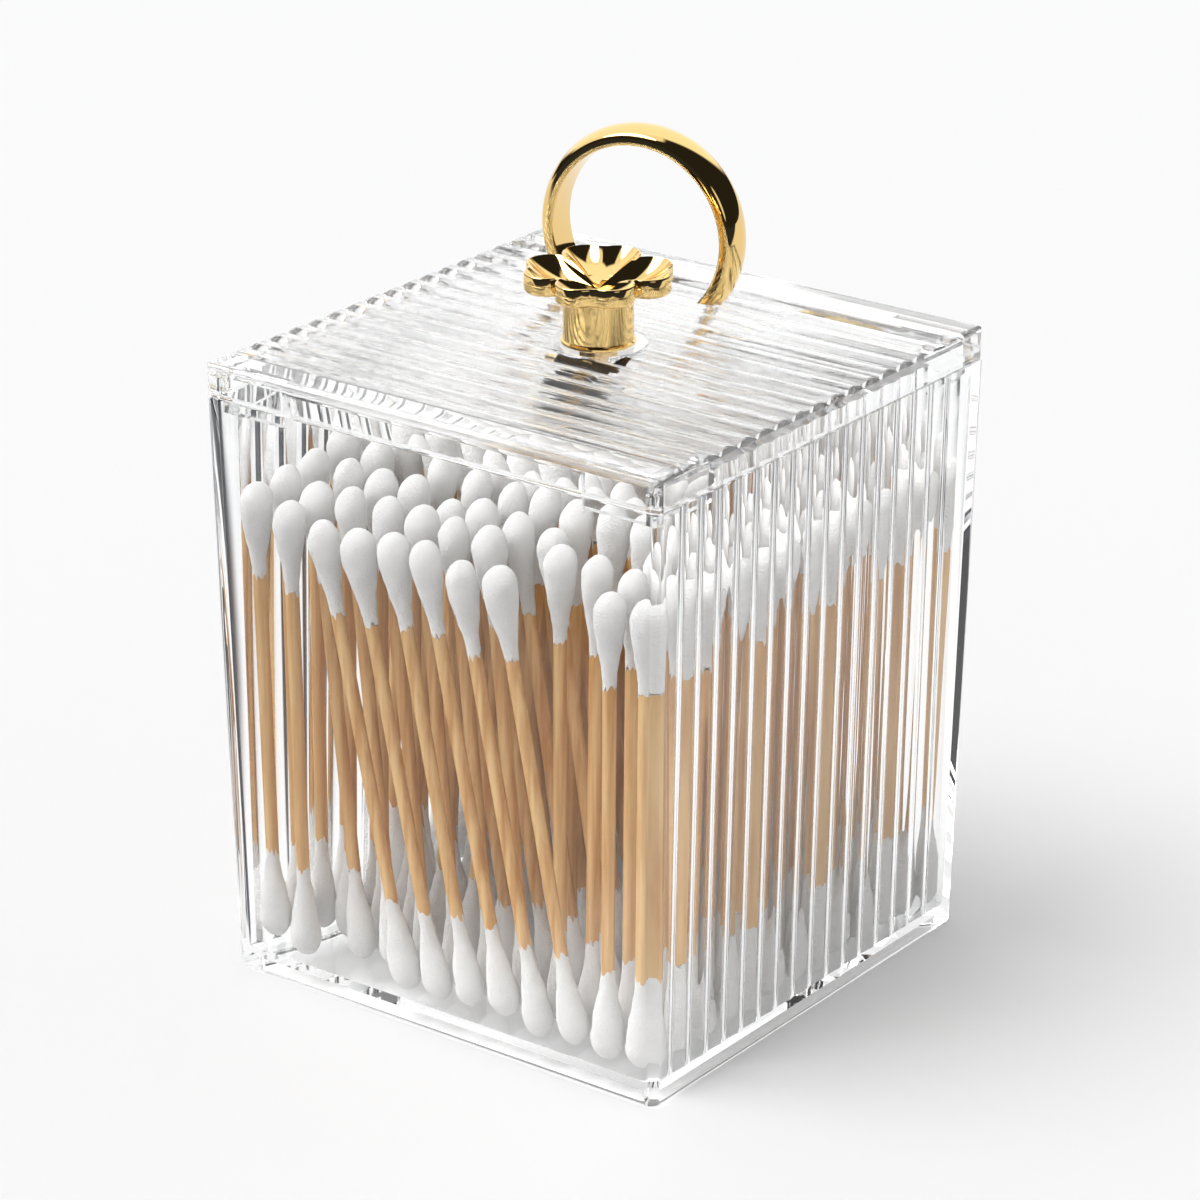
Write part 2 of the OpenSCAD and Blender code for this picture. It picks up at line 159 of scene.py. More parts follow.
class HolderColours(bpy.types.PropertyGroup):
    """Colours of the holder and the stage."""

    clear: colour("Clear plastic", "Tint of the clear plastic", (0.985, 0.99, 0.99))
    gold: colour("Gold", "Colour of the polished gold", (0.88, 0.62, 0.25))
    brass: colour("Brass", "Colour of the screw", (0.80, 0.58, 0.30))
    cotton: colour("Cotton", "Colour of the cotton", (0.95, 0.94, 0.93))
    wood_pale: colour("Pale wood", "Light grain of the sticks", (0.93, 0.61, 0.28))
    wood_dark: colour("Dark wood", "Dark grain of the sticks", (0.68, 0.33, 0.10))
    ground: colour("Ground", "Colour of the floor", (0.765, 0.765, 0.77))


def group(name):
    """One of the scene's property groups."""
    return getattr(bpy.context.scene, name)


# Materials


def new_material(name):
    """An empty node material, its node tree and its output node."""
    material = bpy.data.materials.new(name)
    material.use_nodes = True
    tree = material.node_tree
    tree.nodes.clear()
    return material, tree, tree.nodes.new("ShaderNodeOutputMaterial")


def add_noise(tree, scale, detail, stretch=(1, 1, 1)):
    """A noise texture over the object's own coordinates, stretched along its axes."""
    place = tree.nodes.new("ShaderNodeTexCoord")
    mapping = tree.nodes.new("ShaderNodeMapping")
    mapping.inputs["Scale"].default_value = stretch
    texture = tree.nodes.new("ShaderNodeTexNoise")
    texture.inputs["Scale"].default_value = scale
    texture.inputs["Detail"].default_value = detail
    tree.links.new(place.outputs["Object"], mapping.inputs["Vector"])
    tree.links.new(mapping.outputs["Vector"], texture.inputs["Vector"])
    return texture


def add_bump(tree, texture, shader, strength, distance):
    """Bumps from a texture on a shader."""
    bump = tree.nodes.new("ShaderNodeBump")
    bump.inputs["Strength"].default_value = strength
    bump.inputs["Distance"].default_value = distance
    tree.links.new(texture.outputs["Fac"], bump.inputs["Height"])
    tree.links.new(bump.outputs["Normal"], shader.inputs["Normal"])


def clear_plastic(name, clearness):
    """Clear plastic that lets the lamps' rays straight through. What isn't clear is a white haze."""
    material, tree, out = new_material(name)
    tint = (*group("swab_colours").clear, 1)
    shader = tree.nodes.new("ShaderNodeBsdfPrincipled")
    shader.inputs["Base Color"].default_value = tint
    shader.inputs["Roughness"].default_value = 0.0
    shader.inputs["IOR"].default_value = 1.5
    shader.inputs["Transmission Weight"].default_value = clearness
    through = tree.nodes.new("ShaderNodeBsdfTransparent")
    through.inputs["Color"].default_value = (0.96, 0.96, 0.96, 1)
    path = tree.nodes.new("ShaderNodeLightPath")
    mix = tree.nodes.new("ShaderNodeMixShader")
    tree.links.new(path.outputs["Is Shadow Ray"], mix.inputs["Fac"])
    tree.links.new(shader.outputs[0], mix.inputs[1])
    tree.links.new(through.outputs[0], mix.inputs[2])
    tree.links.new(mix.outputs[0], out.inputs["Surface"])
    return material


def metal(name, tint, roughness):
    """A polished metal."""
    material, tree, out = new_material(name)
    shader = tree.nodes.new("ShaderNodeBsdfPrincipled")
    shader.inputs["Base Color"].default_value = (*tint, 1)
    shader.inputs["Metallic"].default_value = 1.0
    shader.inputs["Roughness"].default_value = roughness
    tree.links.new(shader.outputs[0], out.inputs["Surface"])
    return material


def cotton():
    """White cotton with fine fibres."""
    material, tree, out = new_material("cotton_wool")
    shader = tree.nodes.new("ShaderNodeBsdfDiffuse")
    shader.inputs["Color"].default_value = (*group("swab_colours").cotton, 1)
    shader.inputs["Roughness"].default_value = 1.0
    add_bump(tree, add_noise(tree, 3600, 4), shader, 0.9, 0.00025)
    tree.links.new(shader.outputs[0], out.inputs["Surface"])
    return material


def stick_wood():
    """Pale wood with fine grain along the stick."""
    material, tree, out = new_material("birch_stick")
    colours = group("swab_colours")
    grain = add_noise(tree, 900, 4, (1, 1, 0.04))
    ramp = tree.nodes.new("ShaderNodeValToRGB")
    ramp.color_ramp.elements[0].position = 0.3
    ramp.color_ramp.elements[0].color = (*colours.wood_dark, 1)
    ramp.color_ramp.elements[1].position = 0.62
    ramp.color_ramp.elements[1].color = (*colours.wood_pale, 1)
    shader = tree.nodes.new("ShaderNodeBsdfPrincipled")
    shader.inputs["Roughness"].default_value = 0.6
    tree.links.new(grain.outputs["Fac"], ramp.inputs["Fac"])
    tree.links.new(ramp.outputs["Color"], shader.inputs["Base Color"])
    add_bump(tree, grain, shader, 0.3, 0.0001)
    tree.links.new(shader.outputs[0], out.inputs["Surface"])
    return material


# Meshes


def mesh_object(bm, name, material, sharp=40):
    """A smooth object from a bmesh, with sharp edges where faces meet at more than the angle."""
    bmesh.ops.recalc_face_normals(bm, faces=bm.faces)
    limit = math.radians(sharp)
    for face in bm.faces:
        face.smooth = True
    for edge in bm.edges:
        edge.smooth = len(edge.link_faces) == 2 and edge.calc_face_angle() < limit
    mesh = bpy.data.meshes.new(name)
    bm.to_mesh(mesh)
    bm.free()
    mesh.materials.append(material)
    made = bpy.data.objects.new(name, mesh)
    bpy.context.scene.collection.objects.link(made)
    return made


def loft(bm, loops):
    """Closed loops of equally many points, joined by faces. Returns the loops' vertices."""
    rows = [[bm.verts.new(point) for point in loop] for loop in loops]
    for low, high in zip(rows, rows[1:]):
        count = len(low)
        for i in range(count):
            j = (i + 1) % count
            bm.faces.new((low[i], low[j], high[j], high[i]))
    return rows


def corner_arc(number, half_x, half_y, radius, steps):
    """Points round one rounded corner of a rectangle."""
    sx, sy = CORNERS[number]
    points = []
    for i in range(steps + 1):
        angle = math.radians(90 * (number + i / steps))
        x = sx * (half_x - radius) + radius * math.cos(angle)
        y = sy * (half_y - radius) + radius * math.sin(angle)
        points.append((x, y))
    return points


def rounded_outline(half_x, half_y, radius, steps=6):
    """Points round a rectangle with rounded corners."""
    points = []
    for number in range(len(CORNERS)):
        points += corner_arc(number, half_x, half_y, radius, steps)
    return points


def rib_steps(sizes, steps=10):
    """Places and heights across all the ribs of one wall, from its first rib to its last."""
    chord = sizes.rib_pitch - sizes.rib_land
    radius = (chord**2 / 4 + sizes.rib_height**2) / (2 * sizes.rib_height)
    found = []
    for i in range(sizes.ribs):
        middle = (i - (sizes.ribs - 1) / 2) * sizes.rib_pitch
        for j in range(steps + 1):
            off = chord * (j / steps - 0.5)
            rise = math.sqrt(radius**2 - off**2) - (radius - sizes.rib_height)
            found.append((middle + off, max(rise, 0)))
    return found


def ribbed_outline(half_x, half_y, radius, sizes, steps=4):
    """Points round the inside of the box, with ribs that stand in from both side walls."""
    ribs = rib_steps(sizes)
    points = []
    for number in range(len(CORNERS)):
        points += corner_arc(number, half_x, half_y, radius, steps)
        if number == 1:
            points += [(-half_x + rise, -y) for y, rise in ribs]
        if number == 3:
            points += [(half_x - rise, y) for y, rise in ribs]
    return points


def raised(points, z):
    """Flat points lifted to one height."""
    return [(x, y, z) for x, y in points]


def fill_between(bm, outer, inner):
    """Faces between two loops of vertices that lie in one plane."""
    edges = []
    for loop in (outer, inner):
        for a, b in zip(loop, loop[1:] + loop[:1]):
            edges.append(bm.edges.get((a, b)) or bm.edges.new((a, b)))
    bmesh.ops.triangle_fill(bm, edges=edges, use_beauty=True, use_dissolve=False)


def prism(outline, low, high, turn=None):
    """An object made by pushing a flat outline from one height to another, then turning it."""
    bm = bmesh.new()
    rows = loft(bm, [raised(outline, low), raised(outline, high)])
    bm.faces.new(rows[0])
    bm.faces.new(rows[1])
    if turn:
        bmesh.ops.transform(bm, matrix=turn, verts=bm.verts)
    bmesh.ops.recalc_face_normals(bm, faces=bm.faces)
    mesh = bpy.data.meshes.new("blank")
    bm.to_mesh(mesh)
    bm.free()
    made = bpy.data.objects.new("blank", mesh)
    bpy.context.scene.collection.objects.link(made)
    return made


def combine(base, tool, operation):
    """Cuts a tool out of the base, joins both or keeps what they share. The tool is used up."""
    change = base.modifiers.new("combine", "BOOLEAN")
    change.operation = operation
    change.solver = "EXACT"
    change.object = tool
    view = bpy.context.evaluated_depsgraph_get()
    mesh = bpy.data.meshes.new_from_object(base.evaluated_get(view))
    if not mesh.polygons:
        raise RuntimeError("combining left nothing of " + base.name)
    base.modifiers.clear()
    base.data = mesh
    bpy.data.objects.remove(tool)


def circle_outline(x, y, radius, steps=64):
    """Points round a circle."""
    turns = [TURN * i / steps for i in range(steps)]
    return [(x + radius * math.cos(a), y + radius * math.sin(a)) for a in turns]


def box_outline(x0, y0, x1, y1):
    """The four corners of a rectangle, in order."""
    left, right = sorted((x0, x1))
    front, back = sorted((y0, y1))
    return [(left, front), (right, front), (right, back), (left, back)]


def edge_line(half, crest, radius, steps=6):
    """Rounded upper edge of the lid, from its left side to its top."""
    points = []
    for i in range(steps + 1):
        turn = math.radians(90 * i / steps)
        points.append((-half + radius * (1 - math.cos(turn)), crest - radius * (1 - math.sin(turn))))
    return points


class SWAB_OT_box(bpy.types.Operator):
    """Builds the clear box with its plain front and its ribbed sides"""

    bl_idname = "swab.box"
    bl_label = "Clear box"

    def execute(self, context):
        sizes = group("swab_holder")
        top = BODY_HIGH.z
        half_x, half_y = BODY_HIGH.x, BODY_HIGH.y

        def outer(z, less):
            """Outline of the outside at a height, drawn in by some distance."""
            inset = sizes.draft * (1 - z / top) + less
            return raised(rounded_outline(half_x - inset, half_y - inset, sizes.corner), z)

        def inner(z):
            """Outline of the inside at a height."""
            inset = sizes.draft * (1 - z / top)
            x = half_x - inset - sizes.side_wall
            y = half_y - inset - sizes.front_wall
            return raised(ribbed_outline(x, y, inside_corner, sizes), z)

        inside_corner = 1.0 * MM
        edge = sizes.edge
        rim = sizes.draft + sizes.foot_rim
        recess = rounded_outline(half_x - rim, half_y - rim, sizes.corner)
        bm = bmesh.new()
        outside = loft(bm, [
            raised(recess, sizes.foot),
            raised(recess, 0.0),
            outer(0.0, edge),
            outer(0.3 * edge, 0.3 * edge),
            outer(edge, 0),
            outer(top / 2, 0),
            outer(top - edge, 0),
            outer(top - 0.3 * edge, 0.3 * edge),
            outer(top, edge),
        ])
        inside = loft(bm, [inner(sizes.floor), inner(top / 2), inner(top)])
        bm.faces.new(outside[0])
        bm.faces.new(inside[0])
        fill_between(bm, outside[-1], inside[-1])
        made = mesh_object(bm, "clear_box", clear_plastic("clear_acrylic", 1.0), 25)
        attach(made, "holder")
        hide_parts("box_body")
        return {"FINISHED"}


class SWAB_OT_lid(bpy.types.Operator):
    """Builds the clear lid: ribbed top, hollow underside, corner lugs and pad"""

    bl_idname = "swab.lid"
    bl_label = "Ribbed lid"

    def execute(self, context):
        sizes = group("swab_lid")
        walls = group("swab_holder")
        crest = LID_HIGH.z - sizes.pad_rise
        base = crest - sizes.height
        under = crest - sizes.plate
        half_x, half_y = LID_HIGH.x, LID_HIGH.y
        groove = crest - walls.rib_height
        ribbed = walls.ribs * walls.rib_pitch / 2
        left = edge_line(half_y, crest, sizes.edge) + [(-ribbed, crest), (-ribbed, groove)]
        ribs = [(y, groove + rise) for y, rise in rib_steps(walls, 14)]
        right = [(-y, z) for y, z in reversed(left)]
        section = [(-half_y, base)] + left + ribs + right + [(half_y, base)]
        along_x = Matrix(((0, 0, 1, 0), (1, 0, 0, 0), (0, 1, 0, 0), (0, 0, 0, 1)))
        made = prism(section, -half_x, half_x, along_x)
        left = edge_line(half_x, crest + 0.01 * MM, sizes.edge)
        right = [(-x, z) for x, z in reversed(left)]
        section = [(-half_x, base - OVERLAP)] + left + right + [(half_x, base - OVERLAP)]
        along_y = Matrix(((1, 0, 0, 0), (0, 0, 1, 0), (0, 1, 0, 0), (0, 0, 0, 1)))
        combine(made, prism(section, -half_y - OVERLAP, half_y + OVERLAP, along_y), "INTERSECT")
        outside = rounded_outline(half_x, half_y, sizes.corner)
        combine(made, prism(outside, base - 2 * OVERLAP, crest + OVERLAP), "INTERSECT")
        inside_x, inside_y = half_x - walls.side_wall, half_y - walls.front_wall
        inside = ribbed_outline(inside_x, inside_y, sizes.corner / 2, walls)
        combine(made, prism(inside, base - OVERLAP, under), "DIFFERENCE")

        web_low, web_high = base + 0.05 * MM, under + 0.3 * MM
        thick = sizes.lug_thick
        x1, y1 = half_x - sizes.lug_room, half_y - sizes.lug_room_y
        x0, y0 = x1 - sizes.lug, y1 - sizes.lug
        wall_x, wall_y = half_x - walls.side_wall / 2, half_y - walls.front_wall / 2
        for sx, sy in CORNERS:
            inner_arms = [(x0, y1 - thick), (x1 - thick, y1 - thick), (x1 - thick, y0)]
            arms = [(sx * x, sy * y) for x, y in inner_arms + [(x1, y0), (x1, y1), (x0, y1)]]
            combine(made, prism(arms, LID_LOW.z, web_high), "UNION")
            web = box_outline(sx * (x1 - thick / 2), sy * y0, sx * wall_x, sy * y1)
            combine(made, prism(web, web_low, web_high), "UNION")
            web = box_outline(sx * x0, sy * (y1 - thick / 2), sx * x1, sy * wall_y)
            combine(made, prism(web, web_low, web_high), "UNION")

        pad = circle_outline(0, 0, sizes.pad, 96)
        combine(made, prism(pad, under + 0.5 * MM, LID_HIGH.z), "UNION")
        holes = [circle_outline(0, 0, sizes.screw_hole)]
        holes += [circle_outline(*foot, PEG_HOLE, 32) for foot in ring_feet()]
        for hole in holes:
            combine(made, prism(hole, under - OVERLAP, crest + OVERLAP), "DIFFERENCE")
        bm = bmesh.new()
        bm.from_mesh(made.data)
        bpy.data.objects.remove(made)
        bmesh.ops.remove_doubles(bm, verts=bm.verts, dist=1e-6)
        made = mesh_object(bm, "clear_lid_ribbed", clear_plastic("clear_lid_acrylic", 0.985), 25)
        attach(made, "lid_assembly")
        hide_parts("lid")
        return {"FINISHED"}


def ring_feet():
    """Middles of the ring's two feet on the lid."""
    sizes = group("swab_gold")
    radii = (sizes.ring_inner, sizes.ring_inner + sizes.ring_band)
    reach = sum(math.sqrt(radius**2 - sizes.ring_lift**2) for radius in radii) / 2
    x, y = (RING_LOW.x + RING_HIGH.x) / 2, (RING_LOW.y + RING_HIGH.y) / 2
    along = (math.cos(sizes.ring_turn), math.sin(sizes.ring_turn))
    return [(x + side * reach * along[0], y + side * reach * along[1]) for side in (-1, 1)]


class SWAB_OT_knob(bpy.types.Operator):
    """Builds the polished flower knob"""

    bl_idname = "swab.knob"
    bl_label = "Flower knob"

    def execute(self, context):
        sizes = group("swab_gold")
        gold = metal("mirror_gold", group("swab_colours").gold, 0.05)
        foot, top = KNOB_LOW.z, KNOB_HIGH.z
        under = top - sizes.rim
        count = 240
        angles = [TURN * i / count for i in range(count)]
        petals = [sizes.petal_turn + math.pi / 2 * i for i in range(4)]
        dip = 0.45 * MM
        lip = 0.35 * MM
        soft = 0.7 * MM

        def from_petal(angle):
            """Angle from the nearest petal's middle."""
            return min(abs((angle - p + math.pi) % TURN - math.pi) for p in petals)

        def outline(angle, less):
            """Radius of the flower's outline at an angle: two lobes make a heart-shaped petal."""
            turn = from_petal(angle)
            away = abs(turn - sizes.lobe_turn)
            across = sizes.lobe_place * math.sin(away)
            radius = sizes.lobe - less
            if abs(across) >= radius:
                return sizes.notch - less
            reach = sizes.lobe_place * math.cos(away) + math.sqrt(radius**2 - across**2)
            if turn < sizes.lobe_turn:
                front = sizes.lobe_place * math.cos(sizes.lobe_turn) + radius - dip
                return max(reach, front / math.cos(turn))
            return max(sizes.notch - less, reach)

        def hollow(angle, share):
            """Depth of the cup at an angle, and at a share of the way from the middle to the rim."""
            away = from_petal(angle) - sizes.lobe_turn
            valley = 1 - share**3.2
            if away > 0:
                weight = (away / (math.pi / 4 - sizes.lobe_turn)) ** 1.5
                crest = (1 - share) ** 1.2 * 0.94
            else:
                weight = (-away / sizes.lobe_turn) ** 1.5
                crest = 1 - share**2.5
            return sizes.cup * (valley * (1 - weight) + crest * weight)

        def round_loop(radius, z):
            """A circle at a height."""
            return [(radius * math.cos(a), radius * math.sin(a), z) for a in angles]

        def flower_loop(less, z):
            """The flower's outline at a height, drawn in by some distance."""
            reach = [outline(a, less) for a in angles]
            return [(r * math.cos(a), r * math.sin(a), z) for a, r in zip(angles, reach)]

        loops = [
            round_loop(sizes.collar - 0.2 * MM, foot),
            round_loop(sizes.collar, foot + 0.15 * MM),
            round_loop(sizes.collar, foot + 0.5 * MM),
            round_loop(sizes.stem + 0.05 * MM, foot + 0.7 * MM),
            round_loop(sizes.stem, foot + 0.9 * MM),
            round_loop(sizes.stem, under - 0.3 * MM),
            round_loop(sizes.stem + 0.3 * MM, under),
        ]
        stem_ring, flower_ring = round_loop(sizes.stem, under), flower_loop(soft, under)
        for share in (0.15, 0.5, 0.8, 0.92):
            loops.append([
                ((1 - share) * a + share * x, (1 - share) * b + share * y, z)
                for (a, b, z), (x, y, _) in zip(stem_ring, flower_ring)
            ])
        for step in range(6):
            turn = math.radians(90 * step / 5)
            loops.append(flower_loop(soft * (1 - math.sin(turn)), under + soft * (1 - math.cos(turn))))
        loops += [
            flower_loop(0, under + 0.52 * sizes.rim),
            flower_loop(0.08 * MM, under + 0.54 * sizes.rim),
            flower_loop(0.08 * MM, under + 0.57 * sizes.rim),
            flower_loop(0, under + 0.59 * sizes.rim),
        ]
        for step in range(5):
            turn = math.radians(90 * step / 4)
            loops.append(flower_loop(lip * (1 - math.cos(turn)), top - lip * (1 - math.sin(turn))))
        shares = [1 - 0.012 * k for k in range(1, 16)] + [0.8 - 0.032 * k for k in range(24)]
        rim = list(zip(angles, flower_loop(lip, top)))
        for share in shares:
            loops.append([(x * share, y * share, top - hollow(a, share)) for a, (x, y, _) in rim])
        bm = bmesh.new()
        rows = loft(bm, loops)
        bm.faces.new(rows[0])
        middle = bm.verts.new((0, 0, top - 0.97 * sizes.cup))
        last = rows[-1]
        for i in range(count):
            bm.faces.new((last[i], last[(i + 1) % count], middle))
        made = mesh_object(bm, "flower_knob_polished", gold, 34)
        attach(made, "lid_assembly")
        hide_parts("flower_knob")
        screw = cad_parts["knob_screw"]
        screw.data.materials.clear()
        screw.data.materials.append(metal("screw_brass", group("swab_colours").brass, 0.2))
        return {"FINISHED"}


class SWAB_OT_ring(bpy.types.Operator):
    """Builds the polished ring handle"""

    bl_idname = "swab.ring"
    bl_label = "Ring handle"

    def execute(self, context):
        sizes = group("swab_gold")
        gold = bpy.data.materials["mirror_gold"]
        outer = sizes.ring_inner + sizes.ring_band
        half = sizes.ring_width / 2
        dome = sizes.ring_dome
        edge_up = math.sqrt(dome**2 - half**2)
        side = outer - dome + edge_up
        soft = 0.4 * MM
        section = []
        dome_end = math.asin((half - 0.15 * MM) / dome)
        for i in range(17):
            turn = -dome_end + 2 * dome_end * i / 16
            section.append((outer - dome + dome * math.cos(turn), dome * math.sin(turn)))
        section += [(side - 0.25 * MM, half), (sizes.ring_inner + soft, half)]
        for i in range(1, 5):
            turn = math.radians(90 * i / 5)
            section.append((
                sizes.ring_inner + soft - soft * math.sin(turn),
                half - soft + soft * math.cos(turn),
            ))
        mirrored = [(r, -w) for r, w in reversed(section[17:])]
        section = section + [(sizes.ring_inner, half - soft), (sizes.ring_inner, soft - half)] + mirrored
        crest = RING_HIGH.z - outer - sizes.ring_lift
        centre = (RING_LOW + RING_HIGH) / 2
        centre.z = crest + sizes.ring_lift
        along = Vector((math.cos(sizes.ring_turn), math.sin(sizes.ring_turn), 0))
        across = Vector((-along.y, along.x, 0))
        up = Vector((0, 0, 1))
        count = 192
        loops = []
        for i in range(count):
            turn = TURN * i / count
            out = along * math.cos(turn) + up * math.sin(turn)
            loops.append([tuple(centre + out * r + across * w) for r, w in section])
        bm = bmesh.new()
        rows = loft(bm, loops)
        size = len(section)
        for i in range(size):
            j = (i + 1) % size
            bm.faces.new((rows[-1][i], rows[-1][j], rows[0][j], rows[0][i]))
        cut = bmesh.ops.bisect_plane(
            bm,
            geom=bm.verts[:] + bm.edges[:] + bm.faces[:],
            plane_co=(0, 0, crest + 0.02 * MM),
            plane_no=(0, 0, -1),
            clear_outer=True,
        )
        rims = [e for e in cut["geom_cut"] if isinstance(e, bmesh.types.BMEdge)]
        bmesh.ops.holes_fill(bm, edges=rims, sides=0)
        for x, y in ring_feet():
            place = Matrix.Translation((x, y, crest - 0.85 * MM))
            bmesh.ops.create_cone(
                bm, cap_ends=True, segments=32, radius1=PEG, radius2=PEG, depth=PEG_LENGTH, matrix=place
            )
        made = mesh_object(bm, "ring_handle_polished", gold, 34)
        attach(made, "lid_assembly")
        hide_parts("ring_handle")
        return {"FINISHED"}


def islands(node):
    """The separate solids of a CAD node, each as an array of its points."""
    bm = bmesh.new()
    bm.from_mesh(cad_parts[node].data)
    bmesh.ops.remove_doubles(bm, verts=bm.verts, dist=1e-6)
    seen = set()
    found = []
    for start in bm.verts:
        if start in seen:
            continue
        seen.add(start)
        stack = [start]
        points = []
        while stack:
            vert = stack.pop()
            points.append(vert.co[:])
            for edge in vert.link_edges:
                other = edge.other_vert(vert)
                if other not in seen:
                    seen.add(other)
                    stack.append(other)
        found.append(np.array(points))
    bm.free()
    return found


def stick_ends(points):
    """Both ends of a stick's axis, the lower first."""
    middle = (points.min(0) + points.max(0)) / 2
    low = points[points[:, 2] < middle[2]]
    high = points[points[:, 2] > middle[2]]
    return Vector(low.mean(0)), Vector(high.mean(0))


def head_profile(sizes, steps_nose=7, steps_taper=13):
    """Distance from the end and radius along one cotton end."""
    points = []
    for i in range(1, steps_nose + 1):
        turn = math.radians(90 * i / steps_nose)
        points.append((sizes.nose * (1 - math.cos(turn)), sizes.head * math.sin(turn)))
    neck = sizes.stick + 0.12 * MM
    for i in range(1, steps_taper + 1):
        share = i / steps_taper
        radius = neck + (sizes.head - neck) * math.cos(math.radians(90) * share)**2
        points.append((sizes.nose + (sizes.head_length - sizes.nose) * share, radius))
    return points


def add_head(bm, place, sizes, rand, around=22):
    """One cotton end: place takes its nose at the origin, with the stick along +Z."""
    profile = head_profile(sizes)
    shift = Vector((rand.uniform(-9, 9), rand.uniform(-9, 9), rand.uniform(-9, 9)))
    fat = rand.uniform(0.88, 1.0)
    end = sizes.head_length
    slim = rand.uniform(0.8, 1.25)
    frays = [rand.uniform(-1.0, 0.5) * MM for _ in range(around)]
    loops = []
    for s, radius in profile:
        grip = min(1, (end - s) / (0.25 * end) + 0.25)
        taper = max(0, (s - sizes.nose) / (end - sizes.nose))
        squeeze = 1
        if s >= sizes.nose:
            squeeze = (1 - taper) ** (slim - 1) if taper < 1 else 0
        loop = []
        for i in range(around):
            turn = TURN * i / around
            way = Vector((math.cos(turn), math.sin(turn), s / (2.2 * MM)))
            bump = noise.noise(way * 1.1 + shift) * grip
            fine = noise.noise(way * 3.1 + shift) * 0.35 * grip
            r = radius * fat + sizes.bumps * (bump + fine - 0.4)
            r = sizes.stick + (r - sizes.stick) * squeeze
            if s > sizes.nose:
                r = max(r, sizes.stick + 0.02 * MM)
            along = s + frays[i] * max(0, taper * 5 - 4)
            loop.append(place @ Vector((r * math.cos(turn), r * math.sin(turn), along)))
        loops.append(loop)
    rows = loft(bm, loops)
    nose = bm.verts.new(place @ Vector((0, 0, 0)))
    for i in range(around):
        bm.faces.new((rows[0][i], rows[0][(i + 1) % around], nose))
    bm.faces.new(rows[-1])


class SWAB_OT_swabs(bpy.types.Operator):
    """Builds the swabs row by row where the frame's sticks stand"""

    bl_idname = "swab.swabs"
    bl_label = "Cotton swabs"

    def execute(self, context):
        sizes = group("swab_sizes")
        rand = random.Random(sizes.seed)
        wood = stick_wood()
        wool = cotton()
        for sticks_node, tips_node in zip(STICK_NODES, TIP_NODES):
            number = sticks_node[-2:]
            sticks = bmesh.new()
            heads = bmesh.new()
            for points in islands(sticks_node):
                low, high = stick_ends(points)
                axis = (high - low).normalized()
                long = (high - low).length
                turn = axis.to_track_quat("Z", "Y").to_matrix().to_4x4()
                middle = Matrix.Translation((low + high) / 2) @ turn
                bmesh.ops.create_cone(
                    sticks, cap_ends=True, segments=20, radius1=sizes.stick, radius2=sizes.stick,
                    depth=long, matrix=middle,
                )
                spin = Matrix.Rotation(rand.uniform(0, 6.28), 4, "Z")
                lower = Matrix.Translation(low - axis * sizes.cover) @ turn @ spin
                flip = Matrix.Rotation(math.pi, 4, "X")
                upper = Matrix.Translation(high + axis * sizes.cover) @ turn @ flip @ spin
                add_head(heads, lower, sizes, rand)
                add_head(heads, upper, sizes, rand)
            made = mesh_object(sticks, "birch_sticks_" + number, wood)
            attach(made, "holder")
            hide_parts(sticks_node)
            made = mesh_object(heads, "cotton_heads_" + number, wool, 60)
            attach(made, "holder")
            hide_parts(tips_node)
        return {"FINISHED"}


# Each patch of the room: its direction, where its dot product starts and is full, and its brightness
SHINE_ROOM = (
    ((-0.60, -0.10, 0.79), 0.78, 0.83, 1.35),
    ((0.86, -0.42, 0.28), 0.965, 0.975, 1.2),
    ((-0.50, 0.62, 0.60), 0.70, 0.78, 1.55),
)
SHINE_BASE = 0.025
CLEAR_ROOM = (
    ((0.93, 0.30, 0.17), 0.90, 0.95, 0.3),
)
CLEAR_BASE = 1.26
GROUND_GLOWS = (("Is Camera Ray", 0.14), ("Is Glossy Ray", 0.14), ("Is Transmission Ray", 0.32))
BOUNCES = 20
KEY_PLACE = (-0.55, -0.55, 1.1)
CAMERA_PLACE = (0.41335, -0.55231, 0.33825)
CAMERA_BACK = (0.55494, -0.74204, 0.37606)


def maths(tree, operation, first, second):
    """The result of a maths node on two outputs, or on an output and a number."""
    node = tree.nodes.new("ShaderNodeMath")
    node.operation = operation
    tree.links.new(first, node.inputs[0])
    if isinstance(second, float):
        node.inputs[1].default_value = second
    else:
        tree.links.new(second, node.inputs[1])
    return node.outputs[0]


def smooth_step(tree, place, direction, start, full, low=0.0, high=1.0):
    """Rises from low to high as a place lies further along a direction."""
    dot = tree.nodes.new("ShaderNodeVectorMath")
    dot.operation = "DOT_PRODUCT"
    dot.inputs[1].default_value = direction
    span = tree.nodes.new("ShaderNodeMapRange")
    span.interpolation_type = "SMOOTHSTEP"
    span.inputs["From Min"].default_value = start
    span.inputs["From Max"].default_value = full
    span.inputs["To Min"].default_value = low
    span.inputs["To Max"].default_value = high
    tree.links.new(place, dot.inputs[0])
    tree.links.new(dot.outputs["Value"], span.inputs["Value"])
    return span.outputs["Result"]


def room_level(tree, patches, base, operation):
    """Light of a room: a base level and patches in some directions, joined by the operation."""
    place = tree.nodes.new("ShaderNodeTexCoord").outputs["Generated"]
    level = None
    for direction, start, full, bright in patches:
        patch = smooth_step(tree, place, direction, start, full, base, bright)
        level = patch if level is None else maths(tree, operation, level, patch)
    background = tree.nodes.new("ShaderNodeBackground")
    tree.links.new(level, background.inputs["Strength"])
    return background.outputs[0]


